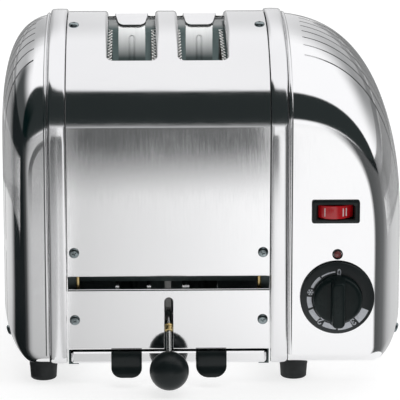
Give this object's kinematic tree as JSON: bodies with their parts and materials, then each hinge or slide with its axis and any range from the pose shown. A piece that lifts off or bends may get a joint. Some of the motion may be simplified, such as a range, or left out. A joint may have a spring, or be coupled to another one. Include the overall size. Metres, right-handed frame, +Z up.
{
  "type": "pop up toaster",
  "caption": "Pop-up toaster in polished steel with bread slots, raised bands, domed end covers, timer dial, rocker switch, lift lever with a ball, and rubber feet.",
  "frame": {"origin": "centre of the whole toaster's footprint, at the plane its feet stand on", "axes": "+Z up; the front with the lever and controls faces -Y; +X runs to the control end, on the right as seen from the front"},
  "size_m": [0.26, 0.2406, 0.2198],
  "materials": {
    "polished_steel": "mirror polished stainless steel sheet",
    "polished_casting": "polished cast aluminium, slightly softer than the sheet",
    "plain_steel": "mill finish steel, heat toned inside the chambers",
    "screw_steel": "bright zinc",
    "brass": "turned brass",
    "black_plastic": "satin black moulding with printed white scale on the dial",
    "black_rubber": "matte black rubber",
    "red_plastic": "translucent red rocker with printed strokes",
    "lamp_lens": "dark red faceted lens, unlit",
    "mica": "mica sheet board"
  },
  "bodies": {
    "housing": {"top_cover": "polished_steel", "front_panel": "polished_steel", "lower_front_panel": "polished_steel", "back_panel": "polished_steel", "left_end_cover": "polished_steel", "right_end_cover": "polished_steel", "left_end_frame": "polished_casting", "right_end_frame": "polished_casting", "base_plate": "plain_steel", "chamber_plate_front": "plain_steel", "chamber_plate_back": "plain_steel", "guide_left_front": "plain_steel", "guide_left_back": "plain_steel", "guide_right_front": "plain_steel", "guide_right_back": "plain_steel", "guard_left_outer": "plain_steel", "guard_left_inner": "plain_steel", "guard_right_outer": "plain_steel", "guard_right_inner": "plain_steel", "lever_shaft": "plain_steel", "lever_bracket": "plain_steel", "timer_body": "plain_steel", "front_screw_upper_left": "screw_steel", "front_screw_upper_right": "screw_steel", "front_screw_lower_left": "screw_steel", "front_screw_lower_right": "screw_steel", "back_screw_upper_left": "screw_steel", "back_screw_upper_right": "screw_steel", "back_screw_lower_left": "screw_steel", "back_screw_lower_right": "screw_steel", "crown_screw_left": "screw_steel", "crown_screw_right": "screw_steel", "side_screw_left": "screw_steel", "side_screw_right": "screw_steel", "spacer_post_left": "brass", "spacer_post_right": "brass", "switch_body": "black_plastic", "lamp_body": "black_plastic", "cord_gland": "black_plastic", "terminal_block": "black_plastic", "foot_front_left": "black_rubber", "foot_front_right": "black_rubber", "foot_back_left": "black_rubber", "foot_back_right": "black_rubber", "lamp_lens": "lamp_lens", "element_left": "mica", "element_centre": "mica", "element_right": "mica"},
    "lift_lever": {"lever_arm": "plain_steel", "lever_bush": "brass", "lever_ball": "black_plastic"},
    "bread_carriers": {"carrier_left": "plain_steel", "carrier_right": "plain_steel", "carrier_crossbar": "plain_steel"},
    "timer_dial": {"timer_knob": "black_plastic", "timer_spindle": "plain_steel"},
    "switch_rocker": {"rocker": "red_plastic"},
    "tray": {"crumb_tray": "plain_steel", "tray_tab_left": "black_plastic", "tray_tab_right": "black_plastic"}
  },
  "joints": [
    {"name": "lever_lift", "type": "hinge", "parent": "housing", "child": "lift_lever", "pos_m": [-0.0225, -0.05875, 0.036], "axis": [-1, 0, 0], "range_deg": [0, 30]},
    {"name": "carrier_drop", "type": "slide", "parent": "housing", "child": "bread_carriers", "axis": [0, 0, 1], "range_m": [-0.0365, 0]},
    {"name": "timer_turn", "type": "hinge", "parent": "housing", "child": "timer_dial", "pos_m": [0.0844, -0.08875, 0.0578], "axis": [0, 1, 0], "range_deg": [0, 280]},
    {"name": "switch_rock", "type": "hinge", "parent": "housing", "child": "switch_rocker", "pos_m": [0.083, -0.08675, 0.1141], "axis": [0, 0, 1], "range_deg": [0, 12]},
    {"name": "tray_slide", "type": "slide", "parent": "housing", "child": "tray", "axis": [0, 1, 0], "range_m": [0, 0.15]}
  ],
  "couplings": [
    {"joint": "carrier_drop", "follows": "lever_lift", "m_per_rad": -0.06875}
  ]
}
